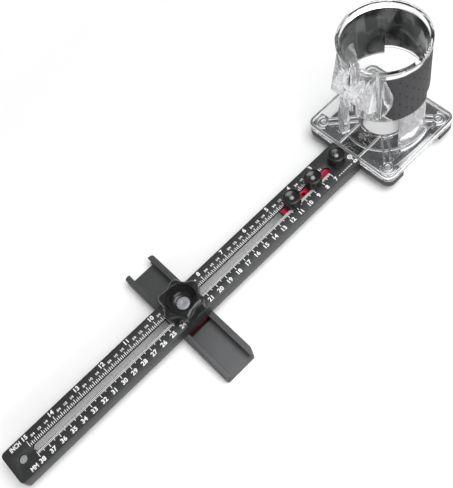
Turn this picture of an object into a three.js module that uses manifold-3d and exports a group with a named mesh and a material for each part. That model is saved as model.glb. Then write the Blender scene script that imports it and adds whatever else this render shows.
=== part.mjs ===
// Router circle cutting jig: a clear trimmer base on a dark sole, a slotted ruler beam, a red tie plate
// held by three thumb knobs, and a fence crossbar clamped under the beam by a star knob.
// Millimetres, +Z up. The working frame has the cutter axis at x = 0, y = 0 and the ruler's top face at z = 0,
// with +X along the ruler. At the end the whole is moved so that the origin is below the middle of the jig.
import * as THREE from 'three';
import { mergeVertices } from 'three/addons/utils/BufferGeometryUtils.js';
import Module from 'manifold-3d';

const wasm = await Module();
wasm.setup();

// Clearances and mesh fineness
const seat = 0.1;              // between faces that rest on each other
const runningGap = 0.3;        // round a piece that turns or slides
const overrun = 1;             // how far a cut runs past the material
const weldDistance = 0.0001;
const roundSteps = 72;         // sides of a large circle
const smallSteps = 24;         // sides of a screw or hole
const waveSteps = 3;           // steps between two points of a wavy edge

// Ruler beam
const rulerWidth = 29.5;
const rulerHeight = 11.5;
const rulerReach = 401.8;      // cutter axis to the hanging end
const rulerEndGap = 0.5;       // beam end to the clear base
const webThickness = 2;
const flangeThickness = 2;
const rulerCornerRadius = 3.5;
const flangeCornerRadius = 3;
const skirtExtra = 0.9;        // the flanges hang a little lower beside the base
const skirtLength = 22;
const skirtSlope = 9;
const slotWidth = 6;
const slotStart = 66.5;
const slotEndInset = 21.6;     // slot's round end to the hanging end
const hangingHoleDiameter = 6.5;
const hangingHoleInset = 11.3;

// Red tie plate and the tongue that runs into the base
const tieThickness = 3.8;
const tieWidth = 18;
const tieStart = 48;
const tieEnd = 119.5;
const tieCornerRadius = 1.4;
const tieHoleDiameter = 3;
const tongueWidth = 20;
const tongueThickness = 3.2;
const tongueScrewInset = 7;    // from the cutter's hole and from the sole's edge under the ruler
const tongueScrewDiameter = 4;

// Thumb knobs
const thumbXs = [57, 84.4, 108.6];
const thumbDiameter = 14.4;
const thumbHeight = 10;
const thumbRimWidth = 1.5;
const thumbDishDepth = 2.6;
const thumbEdgeRadius = 0.9;
const knurlCount = 24;
const knurlDepth = 0.45;
const thumbStudDiameter = 4;
const thumbStudProud = 1.2;

// Sole plate
const plateFront = 45;         // cutter axis to the side that meets the ruler
const plateBack = 36;
const plateHalfWidth = 45;
const plateCornerRadius = 7;
const soleThickness = 6.5;
const soleHoleRadius = 17.5;
const soleNotchFront = 27.5;
const soleNotchBack = 17;
const soleNotchDepth = 10;
const soleScrewInset = 10;
const soleScrewDiameter = 4;
const screwHeadDiameter = 7.6;
const screwHeadHeight = 2.3;
const screwHeadSink = 0.4;
const screwTip = 1;

// Clear base moulding
const floorThickness = 3.6;
const rimHeight = 6.5;
const rimThickness = 2.2;
const ribThickness = 1.4;
const ribDrop = 0.8;           // ribs stop this far below the rim's top
const cornerRibSpacing = 5;
const baseHoleRadius = 18.5;
const holeRingWidth = 1.8;
const bossRadius = 3.9;
const bossRingRadius = 6.6;
const bossRingGapAngle = 100;
const hoopRadius = 34;
const collarInnerRadius = 32.5;
const collarWall = 2.4;
const collarTop = 95.8;
const collarBottom = 39.6;
const backArchRise = 6.4;
const backArchAngles = [107, 220];
const lipProud = 0.5;
const lipHeight = 2.2;
const splitWidth = 5;
const notchReach = 6.4;        // wide top of the split, from the middle line to its +Y side
const notchBottom = 83;
const legThickness = 4.6;
const legFootProud = 2.4;
const legFootHeight = 8;
const legOverlap = 6;          // legs run up into the collar
const legAngles = [[-100, -23], [63, 108]];

// Clamp ears beside the split
const earThickness = 8.5;
const earTipReach = 4.5;       // from the collar to the hole for the clamp screw
const earTipZ = 73.4;
const earTipRadius = 5.6;
const earRootTop = 87;
const earRootBottom = 50;
const earTipAngles = [-60, 60];
const earHoleDiameter = 6.4;

// Broad block behind the ears: its sloped front leaves the collar near the top
const earBlockReach = 18.6;    // from the middle line to its outer side
const earBlockTop = 95;
const earBlockInset = 5.6;     // front at the top, inside the collar's outer face
const earBlockProud = 4.1;     // front at its lower edge, outside the collar's outer face
const earBlockBottom = 60;
const earBlockRoot = 54;
const earBlockDepth = 10;

// Rubber grip, let into the collar, and the clear bead along its two wavy ends
const gripRecess = 1.3;
const gripProud = 0.1;
const gripTop = 89.4;
const gripLift = 0.9;          // sleeve edge above the collar's lower edge
const gripBackLift = 2.4;
const gripAngles = [34, 308];
const waveAngles = [42.5, 300];
const waveBulge = 6.1;
const beadWidth = 2;
const beadProud = 0.5;
// Along the end of the sleeve, from its lower edge to its top: height, and how far the clear bulges into it
const waveHeightShares = [0.17, 0.34, 0.44, 0.54, 0.66, 0.82, 1];
const waveBulgeShares = [-0.05, 0.61, 0.9, 1, 0.88, 0.5, 0];
const waveTailShare = 1.1;     // lower edge beyond the pointed tip

// Star knob, with the stud moulded into it, and its washer
const starX = 228.3;
const starRadius = 18;
const starValley = 3.2;
const starLobes = 6;
const starPhase = 9;
const starHeight = 13.2;
const starRounding = 1.4;
const starRimWidth = 5.6;
const starDishFloorRadius = 7.2;
const starDishBulge = 1.6;
const starFloorThickness = 3.2;
const starSocketDepth = 1.7;
const studHeadDiameter = 10.8;
const studHeadHeight = 1.9;
const studDiameter = 5.6;
const washerDiameter = 18;
const washerThickness = 1.2;

// Crossbar and the red block that ties it to the ruler
const barShift = 1.9;          // from the star knob's axis to the middle of the crossbar
const barWidth = 30.6;
const barHeight = 10;
const barFrom = -60;
const barTo = 62.5;
const barWall = 2;
const lipWidth = 5;
const lipThickness = 2;
const barChamferLong = 5.5;
const barChamferShort = 2.8;
const barNick = 1.8;
const barEndRadius = 2.6;
const barSetback = 3;
const blockLength = 30.8;
const blockFootWidth = 24;
const blockFloorGap = 0.3;

// Places that follow from the sizes
const webUnderside = -webThickness;
const flangeBottom = -rulerHeight;
const soleTop = webUnderside - tieThickness - 2 * seat;
const soleBottom = soleTop - soleThickness;
const tongueBottom = soleTop - tongueThickness;
const floorBottom = soleTop + seat;
const floorTop = floorBottom + floorThickness;
const rimTop = floorBottom + rimHeight;
const ribTop = rimTop - ribDrop;
const ribRoot = floorTop - ribThickness;
const collarRadius = collarInnerRadius + collarWall;
const gripRadius = collarRadius + gripProud;
const earTipX = collarRadius + earTipReach;
const rulerStart = plateFront + rulerEndGap;
const slotEnd = rulerReach - slotEndInset;
const tongueScrewXs = [soleHoleRadius + tongueScrewInset, plateFront - tongueScrewInset];
const barX = starX + barShift;
const starBottom = seat + washerThickness + seat;
const starTop = starBottom + starHeight;
const dishFloor = starBottom + starFloorThickness;
const barTop = flangeBottom - seat;
const barBottom = barTop - barHeight;
const blockBottom = barBottom + barWall + blockFloorGap;
const screwPlaces = [
  [plateFront - soleScrewInset, plateHalfWidth - soleScrewInset],
  [plateFront - soleScrewInset, soleScrewInset - plateHalfWidth],
  [soleScrewInset - plateBack, soleScrewInset - plateHalfWidth],
  [soleScrewInset - plateBack, plateHalfWidth - soleScrewInset],
];

const radians = THREE.MathUtils.degToRad;

// A closed geometry as a solid: shared points are welded, slivers dropped and faces turned outwards
function solid(geometry) {
  const bare = geometry.clone();
  bare.deleteAttribute('normal');
  bare.deleteAttribute('uv');
  const welded = mergeVertices(bare, weldDistance);
  const points = welded.attributes.position.array;
  const corners = [];
  let volume = 0;
  for (let i = 0; i < welded.index.count; i += 3) {
    const [a, b, c] = [0, 1, 2].map((k) => welded.index.getX(i + k));
    if (a === b || b === c || c === a) continue;
    corners.push([a, b, c]);
    const [p, q, r] = [a, b, c].map((k) => new THREE.Vector3().fromArray(points, 3 * k));
    volume += p.dot(q.cross(r));
  }
  const outward = volume < 0 ? corners.map(([a, b, c]) => [a, c, b]) : corners;
  return new wasm.Manifold(new wasm.Mesh({
    numProp: 3,
    vertProperties: new Float32Array(points),
    triVerts: new Uint32Array(outward.flat()),
  }));
}

function joined(pieces) {
  return pieces.reduce((whole, piece) => whole.add(piece));
}

function cutBy(body, cuts) {
  return cuts.reduce((left, cut) => left.subtract(cut), body);
}

function box(x0, x1, y0, y1, z0, z1) {
  const geometry = new THREE.BoxGeometry(x1 - x0, y1 - y0, z1 - z0);
  geometry.translate((x0 + x1) / 2, (y0 + y1) / 2, (z0 + z1) / 2);
  return solid(geometry);
}

// An outline in X and Y, raised from z0 to z1; each arc in it gets twice the given steps
function prism(outline, z0, z1, steps = smallSteps / 8) {
  const geometry = new THREE.ExtrudeGeometry(outline, { depth: z1 - z0, bevelEnabled: false, curveSegments: steps });
  geometry.translate(0, 0, z0);
  return solid(geometry);
}

// An outline in X and Z, drawn along Y from y0 to y1
function prismAlongY(outline, y0, y1, steps = smallSteps / 8) {
  const geometry = new THREE.ExtrudeGeometry(outline, { depth: y1 - y0, bevelEnabled: false, curveSegments: steps });
  geometry.rotateX(Math.PI / 2);
  geometry.translate(0, y1, 0);
  return solid(geometry);
}

function cylinder(x, y, radius, z0, z1, steps = smallSteps) {
  const geometry = new THREE.CylinderGeometry(radius, radius, z1 - z0, steps);
  geometry.rotateX(Math.PI / 2);
  geometry.translate(x, y, (z0 + z1) / 2);
  return solid(geometry);
}

// A profile of [radius, height] points, turned about a vertical axis
function turned(x, y, profile, steps) {
  const geometry = new THREE.LatheGeometry(profile.map(([r, z]) => new THREE.Vector2(r, z)), steps);
  geometry.rotateX(Math.PI / 2);
  geometry.translate(x, y, 0);
  return solid(geometry);
}

// A wall between two radii and two angles in degrees
function arcWall(inner, outer, [from, to], z0, z1, x = 0, y = 0, steps = roundSteps) {
  const outline = new THREE.Shape();
  outline.absarc(x, y, outer, radians(from), radians(to), false);
  outline.absarc(x, y, inner, radians(to), radians(from), true);
  return prism(outline, z0, z1, Math.ceil((steps * (to - from)) / 720));
}

function ring(inner, outer, z0, z1) {
  return cylinder(0, 0, outer, z0, z1, roundSteps).subtract(cylinder(0, 0, inner, z0 - overrun, z1 + overrun,
    roundSteps));
}

function roundedRectangle(x0, x1, y0, y1, radius) {
  const outline = new THREE.Shape();
  outline.absarc(x1 - radius, y0 + radius, radius, -Math.PI / 2, 0, false);
  outline.absarc(x1 - radius, y1 - radius, radius, 0, Math.PI / 2, false);
  outline.absarc(x0 + radius, y1 - radius, radius, Math.PI / 2, Math.PI, false);
  outline.absarc(x0 + radius, y0 + radius, radius, Math.PI, 1.5 * Math.PI, false);
  return outline;
}

// A straight bar between two points of a plan
function rib(from, to, z0, z1) {
  const run = new THREE.Vector2().subVectors(to, from);
  const geometry = new THREE.BoxGeometry(run.length(), ribThickness, z1 - z0);
  geometry.rotateZ(run.angle());
  geometry.translate((from.x + to.x) / 2, (from.y + to.y) / 2, (z0 + z1) / 2);
  return solid(geometry);
}

function polar(radius, degrees) {
  return new THREE.Vector2(radius * Math.cos(radians(degrees)), radius * Math.sin(radians(degrees)));
}

// Ruler: a web with a slot and two holes, on two flanges
function makeRuler() {
  const half = rulerWidth / 2;
  const plan = roundedRectangle(rulerStart - 2 * rulerCornerRadius, rulerReach, -half, half, rulerCornerRadius);
  const sideWall = new THREE.Shape();
  sideWall.moveTo(rulerStart, webUnderside / 2);
  sideWall.lineTo(rulerStart, flangeBottom);
  sideWall.lineTo(rulerStart + skirtExtra, flangeBottom - skirtExtra);
  sideWall.lineTo(rulerStart + skirtLength - skirtSlope, flangeBottom - skirtExtra);
  sideWall.lineTo(rulerStart + skirtLength, flangeBottom);
  sideWall.absarc(rulerReach - flangeCornerRadius, flangeBottom + flangeCornerRadius, flangeCornerRadius,
    -Math.PI / 2, 0, false);
  sideWall.lineTo(rulerReach, webUnderside / 2);
  const outside = prism(plan, flangeBottom - skirtExtra - overrun, 0);
  const flanges = [[-half, flangeThickness - half], [half - flangeThickness, half]]
    .map(([y0, y1]) => prismAlongY(sideWall, y0, y1).intersect(outside));
  const slot = roundedRectangle(slotStart, slotEnd, -slotWidth / 2, slotWidth / 2, slotWidth / 2);
  const cuts = [
    box(rulerStart - rulerReach, rulerStart, -rulerWidth, rulerWidth, flangeBottom - rulerHeight, overrun),
    prism(slot, webUnderside - overrun, overrun),
    cylinder(thumbXs[0], 0, thumbStudDiameter / 2 + runningGap, webUnderside - overrun, overrun),
    cylinder(rulerReach - hangingHoleInset, 0, hangingHoleDiameter / 2, webUnderside - overrun, overrun),
  ];
  return cutBy(joined([prism(plan, webUnderside, 0), ...flanges]), cuts);
}

function thumbHoles(bottom, top) {
  return thumbXs.map((x) => cylinder(x, 0, thumbStudDiameter / 2 + runningGap, bottom - overrun, top + overrun));
}

// Red tie plate, under the web, seen through the slot
function makeTiePlate() {
  const bottom = soleTop + seat;
  const top = bottom + tieThickness;
  const outline = roundedRectangle(tieStart, tieEnd, -tieWidth / 2, tieWidth / 2, tieCornerRadius);
  const spare = cylinder((thumbXs[1] + thumbXs[2]) / 2, 0, tieHoleDiameter / 2, bottom - overrun, top + overrun);
  return cutBy(prism(outline, bottom, top, 1), [...thumbHoles(bottom, top), spare]);
}

// Black tongue, let into the sole and running on under the tie plate
function makeTongue() {
  const body = box(0, tieEnd, -tongueWidth / 2, tongueWidth / 2, tongueBottom, soleTop);
  const screws = tongueScrewXs.map((x) => cylinder(x, 0, tongueScrewDiameter / 2 + seat,
    tongueBottom - overrun, soleTop + overrun));
  const cutterSpace = cylinder(0, 0, soleHoleRadius + seat, tongueBottom - overrun, soleTop + overrun, roundSteps);
  return cutBy(body, [cutterSpace, ...screws, ...thumbHoles(tongueBottom, soleTop)]);
}

// A countersunk screw, head down, its tip at the given height
function countersunkScrew(x, y, diameter, tip) {
  const bottom = soleBottom + screwHeadSink;
  const head = screwHeadDiameter / 2;
  return turned(x, y, [[0, bottom], [head, bottom], [diameter / 2, bottom + screwHeadHeight],
    [diameter / 2, tip - screwTip], [diameter / 2 - screwTip, tip], [0, tip]], smallSteps);
}

// The hole that such a screw needs in the sole
function countersunkHole(x, y, diameter) {
  const mouth = screwHeadDiameter / 2 + seat;
  const waist = diameter / 2 + seat;
  const headSeat = soleBottom + screwHeadSink;
  return turned(x, y, [[0, soleBottom - overrun], [mouth, soleBottom - overrun], [mouth, headSeat],
    [waist, headSeat + screwHeadHeight], [waist, soleTop + overrun], [0, soleTop + overrun]], smallSteps);
}

// Dark sole with the cutter's hole, side notches, the tongue's groove and screw holes
function makeSole() {
  const outline = roundedRectangle(-plateBack, plateFront, -plateHalfWidth, plateHalfWidth, plateCornerRadius);
  const inner = plateHalfWidth - soleNotchDepth;
  const outer = plateHalfWidth + overrun;
  const notches = [[-outer, -inner], [inner, outer]]
    .map(([y0, y1]) => box(-soleNotchBack, soleNotchFront, y0, y1, soleBottom - overrun, soleTop + overrun));
  const groove = box(0, plateFront + overrun, -tongueWidth / 2 - seat, tongueWidth / 2 + seat,
    tongueBottom - seat, soleTop + overrun);
  const cutterSpace = cylinder(0, 0, soleHoleRadius, soleBottom - overrun, soleTop + overrun, roundSteps);
  const holes = screwPlaces.map(([x, y]) => countersunkHole(x, y, soleScrewDiameter));
  const tongueHoles = tongueScrewXs.map((x) => countersunkHole(x, 0, tongueScrewDiameter));
  return cutBy(prism(outline, soleBottom, soleTop), [...notches, groove, cutterSpace, ...holes, ...tongueHoles]);
}

// The ribs round one screw boss and from it towards the cutter's hole
function makeCornerRibs([x, y]) {
  const corner = new THREE.Vector2(x, y);
  const outward = THREE.MathUtils.radToDeg(corner.angle());
  const inward = corner.clone().normalize();
  const side = new THREE.Vector2(-inward.y, inward.x).multiplyScalar(cornerRibSpacing / 2);
  const start = inward.clone().multiplyScalar(baseHoleRadius + holeRingWidth / 2);
  const end = corner.clone().addScaledVector(inward, -bossRadius);
  const spokes = [-1, 1].map((way) => rib(start.clone().addScaledVector(side, way),
    end.clone().addScaledVector(side, way), ribRoot, ribTop));
  const hug = arcWall(bossRingRadius - ribThickness, bossRingRadius,
    [outward - bossRingGapAngle, outward + bossRingGapAngle], ribRoot, ribTop, x, y, smallSteps);
  return [...spokes, hug];
}

// The clear floor: plate, rim, screw bosses and ribs
function makeClearFloor() {
  const plan = (inset) => roundedRectangle(inset - plateBack, plateFront - inset, inset - plateHalfWidth,
    plateHalfWidth - inset, plateCornerRadius - inset);
  const block = prism(plan(0), floorBottom, rimTop);
  const tray = prism(plan(rimThickness), floorTop, rimTop + overrun);
  const bosses = screwPlaces.map(([x, y]) => cylinder(x, y, bossRadius, ribRoot, ribTop));
  const guideY = tongueWidth / 2 + ribThickness / 2;
  const guides = [-guideY, guideY].map((y) => rib(new THREE.Vector2(baseHoleRadius, y),
    new THREE.Vector2(plateFront - rimThickness / 2, y), ribRoot, ribTop));
  const hoops = [
    ring(baseHoleRadius - overrun, baseHoleRadius + holeRingWidth, ribRoot, ribTop),
    ring(hoopRadius - ribThickness, hoopRadius, ribRoot, ribTop - ribDrop),
  ];
  const inside = prism(plan(rimThickness / 2), floorBottom, ribTop);
  const ribs = joined([...screwPlaces.flatMap(makeCornerRibs), ...guides, ...hoops]).intersect(inside);
  return joined([block.subtract(tray), ...bosses, ribs]);
}

// A band between two radii in the outline of the grip, grown by a gap on its edges
function makeBand(inner, outer, gap) {
  const [archFrom, archTo] = backArchAngles;
  const turn = THREE.MathUtils.radToDeg(gap / collarRadius);
  const stretches = [
    [[gripAngles[0], archFrom + turn], collarBottom + gripLift],
    [[archFrom - turn, archTo + turn], collarBottom + backArchRise + gripBackLift],
    [[archTo - turn, gripAngles[1]], collarBottom + gripLift],
  ];
  const band = joined(stretches.map(([angles, low]) => arcWall(inner, outer, angles, low - gap, gripTop + gap)));
  return band.subtract(makeWaves(-gap));
}

// The clear collar on its two legs, arched at the back, with a shallow recess for the grip
function makeClearCollar() {
  const wall = cylinder(0, 0, collarRadius, collarBottom, collarTop, roundSteps);
  const lip = cylinder(0, 0, collarRadius + lipProud, collarTop - lipHeight, collarTop, roundSteps);
  const arch = arcWall(overrun, collarRadius + overrun, backArchAngles, collarBottom - overrun,
    collarBottom + backArchRise);
  const legs = legAngles.flatMap((angles) => [
    arcWall(collarRadius - legThickness, collarRadius, angles, ribRoot, collarBottom + legOverlap),
    arcWall(collarRadius - ribThickness, collarRadius + legFootProud, angles, ribRoot, floorTop + legFootHeight),
  ]);
  const recess = makeBand(collarRadius - gripRecess, collarRadius + overrun, seat);
  return joined([joined([wall, lip]).subtract(arch), ...legs]).subtract(recess);
}

// The two clamp ears, one each side of the split, with a hole for a clamp screw
function makeEars() {
  const root = collarInnerRadius - overrun;
  const outline = new THREE.Shape();
  outline.moveTo(root, earRootTop);
  outline.lineTo(root, earRootBottom);
  outline.absarc(earTipX, earTipZ, earTipRadius, ...earTipAngles.map(radians), false);
  const screwHole = new THREE.Path();
  screwHole.absarc(earTipX, earTipZ, earHoleDiameter / 2, 0, 2 * Math.PI, true);
  outline.holes.push(screwHole);
  const reach = splitWidth / 2 + earThickness;
  return prismAlongY(outline, -reach, reach, smallSteps / 2);
}

function makeEarBlock() {
  const back = collarRadius - earBlockDepth;
  const outline = new THREE.Shape([[back, earBlockTop], [back, earBlockRoot], [collarRadius, earBlockRoot],
    [collarRadius + earBlockProud, earBlockBottom], [collarRadius - earBlockInset, earBlockTop]]
    .map(([x, z]) => new THREE.Vector2(x, z)));
  return prismAlongY(outline, -earBlockReach, earBlockReach, smallSteps / 2);
}

// What lies beyond one end of the grip, bounded by a wavy edge and moved along the grip by a step.
// The outline is drawn as seen from outside, with x towards the sleeve.
function makeWave(angle, towards, step) {
  const rise = gripTop - collarBottom;
  const edge = waveHeightShares.map((share, i) => new THREE.Vector2(
    towards * (waveBulge * waveBulgeShares[i] + step), collarBottom + share * rise));
  const far = -towards * collarRadius;
  const low = collarBottom - overrun;
  const outline = new THREE.Shape();
  outline.moveTo(far, low);
  outline.lineTo(towards * waveTailShare * waveBulge, low);
  outline.lineTo(towards * (waveTailShare * waveBulge + step), collarBottom + gripLift);
  outline.lineTo(edge[0].x, edge[0].y);
  outline.splineThru(edge.slice(1));
  outline.lineTo(edge[edge.length - 1].x, gripTop + overrun);
  outline.lineTo(far, gripTop + overrun);
  const geometry = new THREE.ExtrudeGeometry(outline, { depth: 2 * gripRadius, bevelEnabled: false,
    curveSegments: waveSteps });
  const outward = new THREE.Vector3(Math.cos(radians(angle)), Math.sin(radians(angle)), 0);
  const up = new THREE.Vector3(0, 0, 1);
  geometry.applyMatrix4(new THREE.Matrix4().makeBasis(up.clone().cross(outward), up, outward));
  return solid(geometry);
}

function makeWaves(step) {
  return joined([makeWave(waveAngles[0], 1, step), makeWave(waveAngles[1], -1, step)]);
}

// Rubber sleeve in the collar's recess, from one wavy end to the other
function makeGrip() {
  return makeBand(collarRadius - gripRecess + seat, gripRadius, 0);
}

// The clear beads that frame the sleeve's wavy ends
function makeBeads() {
  const [from, to] = gripAngles;
  const beads = [[from, waveAngles[0] + (waveAngles[0] - from)], [waveAngles[1] - (to - waveAngles[1]), to]]
    .map((angles) => arcWall(collarRadius - seat, collarRadius + beadProud, angles, collarBottom + gripLift,
      gripTop));
  return joined(beads).intersect(makeWaves(-seat)).subtract(makeWaves(-beadWidth));
}

// The clear moulding: floor, legs, collar, ears and beads in one piece, split at the front
function makeBase() {
  const split = box(0, earTipX + earTipRadius + overrun, -splitWidth / 2, splitWidth / 2,
    collarBottom - overrun, collarTop + overrun);
  const notch = box(0, earTipX + earTipRadius + overrun, -splitWidth / 2, notchReach, notchBottom,
    collarTop + overrun);
  const bore = cylinder(0, 0, collarInnerRadius, collarBottom - overrun, collarTop + overrun, roundSteps);
  const cutterSpace = cylinder(0, 0, baseHoleRadius, floorBottom - overrun, rimTop + overrun, roundSteps);
  const pilots = screwPlaces.map(([x, y]) => cylinder(x, y, soleScrewDiameter / 2 + seat,
    floorBottom - overrun, rimTop + overrun));
  return cutBy(joined([makeClearFloor(), makeClearCollar(), makeEars(), makeEarBlock(), makeBeads()]),
    [bore, split, notch, cutterSpace, ...pilots]);
}

// A knurled thumb knob with a dished top
function makeThumbKnob(x) {
  const radius = thumbDiameter / 2;
  const points = [];
  for (let i = 0; i < knurlCount; i += 1) {
    const angle = (360 * i) / knurlCount;
    points.push(polar(radius, angle), polar(radius - knurlDepth, angle + 180 / knurlCount));
  }
  const dish = radius - thumbRimWidth;
  const top = seat + thumbHeight;
  const outside = turned(0, 0, [[0, seat], [radius - thumbEdgeRadius / 2, seat], [radius, seat + thumbEdgeRadius],
    [radius, top - thumbEdgeRadius], [radius - thumbEdgeRadius, top], [0, top]], knurlCount);
  const hollow = turned(0, 0, [[0, top - thumbDishDepth], [dish / 2, top - thumbDishDepth],
    [dish - thumbEdgeRadius, top - thumbDishDepth / 2], [dish, top + overrun], [0, top + overrun]], knurlCount);
  const bore = cylinder(0, 0, thumbStudDiameter / 2 + seat, -overrun, top + overrun);
  const knob = prism(new THREE.Shape(points), 0, top + overrun).intersect(outside);
  return cutBy(knob, [hollow, bore]).translate(x, 0, 0);
}

// The stud of a thumb knob, with a domed end that shows in the dish
function makeThumbStud(x) {
  const radius = thumbStudDiameter / 2;
  const shoulder = seat + thumbHeight - thumbDishDepth;
  const domeAngles = [0, 30, 60, 90];
  const dome = domeAngles.map((angle) => [radius * Math.cos(radians(angle)),
    shoulder + thumbStudProud * Math.sin(radians(angle))]);
  dome[dome.length - 1][0] = 0;
  const bottom = tongueBottom + seat;
  return turned(x, 0, [[0, bottom], [radius - seat, bottom], [radius, bottom + radius / 2], ...dome], smallSteps);
}

// Outline of the star knob, drawn in by an inset
function starOutline(inset) {
  const points = [];
  for (let i = 0; i < roundSteps; i += 1) {
    const angle = (360 * i) / roundSteps;
    const lobe = (1 + Math.cos(radians(starLobes * (angle - starPhase)))) / 2;
    points.push(polar(starRadius - inset - starValley * (1 - lobe), angle));
  }
  return new THREE.Shape(points);
}

// Star knob: six lobes and a deep dish, with a seat for the stud's head
function makeStarKnob() {
  const body = new THREE.ExtrudeGeometry(starOutline(starRounding), { depth: starHeight - 2 * starRounding,
    bevelEnabled: true, bevelSize: starRounding, bevelThickness: starRounding, bevelSegments: 3, curveSegments: 1 });
  body.translate(0, 0, starBottom + starRounding);
  const mouth = starRadius - starRimWidth;
  const hollow = turned(0, 0, [[0, dishFloor], [starDishFloorRadius, dishFloor],
    [mouth - starDishBulge, (dishFloor + starTop) / 2], [mouth, starTop], [mouth, starTop + overrun],
    [0, starTop + overrun]], roundSteps / 2);
  const socket = cylinder(0, 0, studHeadDiameter / 2 + seat, dishFloor - starSocketDepth, dishFloor + overrun);
  const bore = cylinder(0, 0, studDiameter / 2 + seat, 0, starTop);
  return cutBy(solid(body), [hollow, socket, bore]).translate(starX, 0, 0);
}

// The stud held in the star knob, screwed down into the red block
function makeClampStud() {
  const headBottom = dishFloor - starSocketDepth + seat;
  const headTop = headBottom + studHeadHeight;
  const radius = studDiameter / 2;
  const head = studHeadDiameter / 2;
  const tip = blockBottom + screwTip;
  return turned(starX, 0, [[0, tip], [radius - screwTip, tip], [radius, tip + screwTip], [radius, headBottom],
    [head, headBottom], [head, headTop - seat], [head - seat, headTop], [0, headTop]], smallSteps);
}

function makeWasher() {
  return cylinder(starX, 0, washerDiameter / 2, seat, seat + washerThickness, roundSteps / 2)
    .subtract(cylinder(starX, 0, studDiameter / 2 + runningGap, 0, starBottom));
}

// Plan of the crossbar: a long chamfer at one corner, the others rounded
function barPlan(x0, x1) {
  const outline = new THREE.Shape();
  outline.absarc(x0 + barEndRadius, barFrom + barEndRadius, barEndRadius, Math.PI, 1.5 * Math.PI, false);
  outline.absarc(x1 - barEndRadius, barFrom + barEndRadius, barEndRadius, -Math.PI / 2, 0, false);
  outline.absarc(x1 - barNick, barTo - barNick, barNick, 0, Math.PI / 2, false);
  outline.lineTo(x0 + barChamferShort, barTo);
  outline.lineTo(x0, barTo - barChamferLong);
  return outline;
}

// Crossbar: a channel with inward lips, open upwards, its floor cut back at one end
function makeCrossbar() {
  const half = barWidth / 2;
  const profile = [[half, barTop], [half - lipWidth, barTop], [half - lipWidth, barTop - lipThickness],
    [half - barWall, barTop - lipThickness], [half - barWall, barBottom + barWall]];
  const outline = new THREE.Shape([[half, barBottom], ...profile, ...profile.toReversed().map(([x, z]) => [-x, z]),
    [-half, barBottom]].map(([x, z]) => new THREE.Vector2(barX + x, z)));
  const plan = prism(barPlan(barX - half, barX + half), barBottom - overrun, barTop + overrun);
  const setback = box(barX - half + lipWidth, barX + half - lipWidth, barFrom - overrun, barFrom + barSetback,
    barBottom - overrun, barTop + overrun);
  return prismAlongY(outline, barFrom, barTo).intersect(plan).subtract(setback);
}

// Red block: a foot under the crossbar's lips, a neck between them and a key in the ruler's channel
function makeBlock() {
  const neckHalf = barWidth / 2 - lipWidth - runningGap;
  const keyHalf = rulerWidth / 2 - flangeThickness - runningGap;
  const footTop = barTop - lipThickness - runningGap;
  const neckTop = flangeBottom - seat;
  const keyTop = webUnderside - runningGap;
  const footHalf = blockFootWidth / 2;
  const foot = box(barX - footHalf, barX + footHalf, -blockLength / 2, blockLength / 2, blockBottom, footTop);
  const neck = box(barX - neckHalf, barX + neckHalf, -blockLength / 2, blockLength / 2, blockBottom, neckTop);
  const key = box(barX - neckHalf, barX + neckHalf, -keyHalf, keyHalf, blockBottom, keyTop);
  const thread = cylinder(starX, 0, studDiameter / 2 + seat, blockBottom - overrun, keyTop + overrun);
  return cutBy(joined([foot, neck, key]), [thread]);
}

// Finishes, from the photograph
const finishes = {
  anodised: { color: 0x4c4d50, roughness: 0.42, metalness: 0.85 },
  red: { color: 0xb01d3a, roughness: 0.35, metalness: 0.8 },
  tongue: { color: 0x1c1c1e, roughness: 0.5, metalness: 0.7 },
  sole: { color: 0x55565a, roughness: 0.6, metalness: 0 },
  clear: { color: 0xe9eef0, roughness: 0.08, metalness: 0 },
  rubber: { color: 0x48494c, roughness: 0.8, metalness: 0 },
  black: { color: 0x161617, roughness: 0.3, metalness: 0 },
  steel: { color: 0xa8abad, roughness: 0.35, metalness: 1 },
};

const jig = new THREE.Group();
jig.name = 'circle_jig';
jig.position.set((Math.max(plateBack, collarRadius + lipProud) - rulerReach) / 2, -(barFrom + barTo) / 2, -barBottom);

function place(name, body, finish) {
  const { vertProperties, triVerts, numProp } = body.getMesh();
  const points = new Float32Array(triVerts.length * 3);
  triVerts.forEach((corner, i) => {
    points.set(vertProperties.subarray(corner * numProp, corner * numProp + 3), 3 * i);
  });
  const geometry = new THREE.BufferGeometry();
  geometry.setAttribute('position', new THREE.BufferAttribute(points, 3));
  geometry.computeVertexNormals();
  const mesh = new THREE.Mesh(geometry, new THREE.MeshStandardMaterial(finishes[finish]));
  mesh.name = name;
  jig.add(mesh);
}

place('ruler', makeRuler(), 'anodised');
place('tie_plate', makeTiePlate(), 'red');
place('tongue', makeTongue(), 'tongue');
place('sole_plate', makeSole(), 'sole');
place('clear_base', makeBase(), 'clear');
place('grip_sleeve', makeGrip(), 'rubber');
screwPlaces.forEach(([x, y], i) => {
  place(`sole_screw_${i + 1}`, countersunkScrew(x, y, soleScrewDiameter, ribTop - screwTip), 'steel');
});
tongueScrewXs.forEach((x, i) => {
  place(`tongue_screw_${i + 1}`, countersunkScrew(x, 0, tongueScrewDiameter, soleTop - seat), 'steel');
});
thumbXs.forEach((x, i) => {
  place(`thumb_knob_${i + 1}`, makeThumbKnob(x), 'black');
  place(`thumb_stud_${i + 1}`, makeThumbStud(x), 'steel');
});
place('star_knob', makeStarKnob(), 'black');
place('clamp_stud', makeClampStud(), 'steel');
place('star_washer', makeWasher(), 'steel');
place('slide_block', makeBlock(), 'red');
place('crossbar', makeCrossbar(), 'anodised');

export default jig;
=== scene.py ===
"""Router circle cutting jig: the looks of each piece, its printed scale and a small studio.

Run as a script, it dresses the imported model. Lengths are in metres, +X runs along the ruler and +Z is up.
"""

import math

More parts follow.
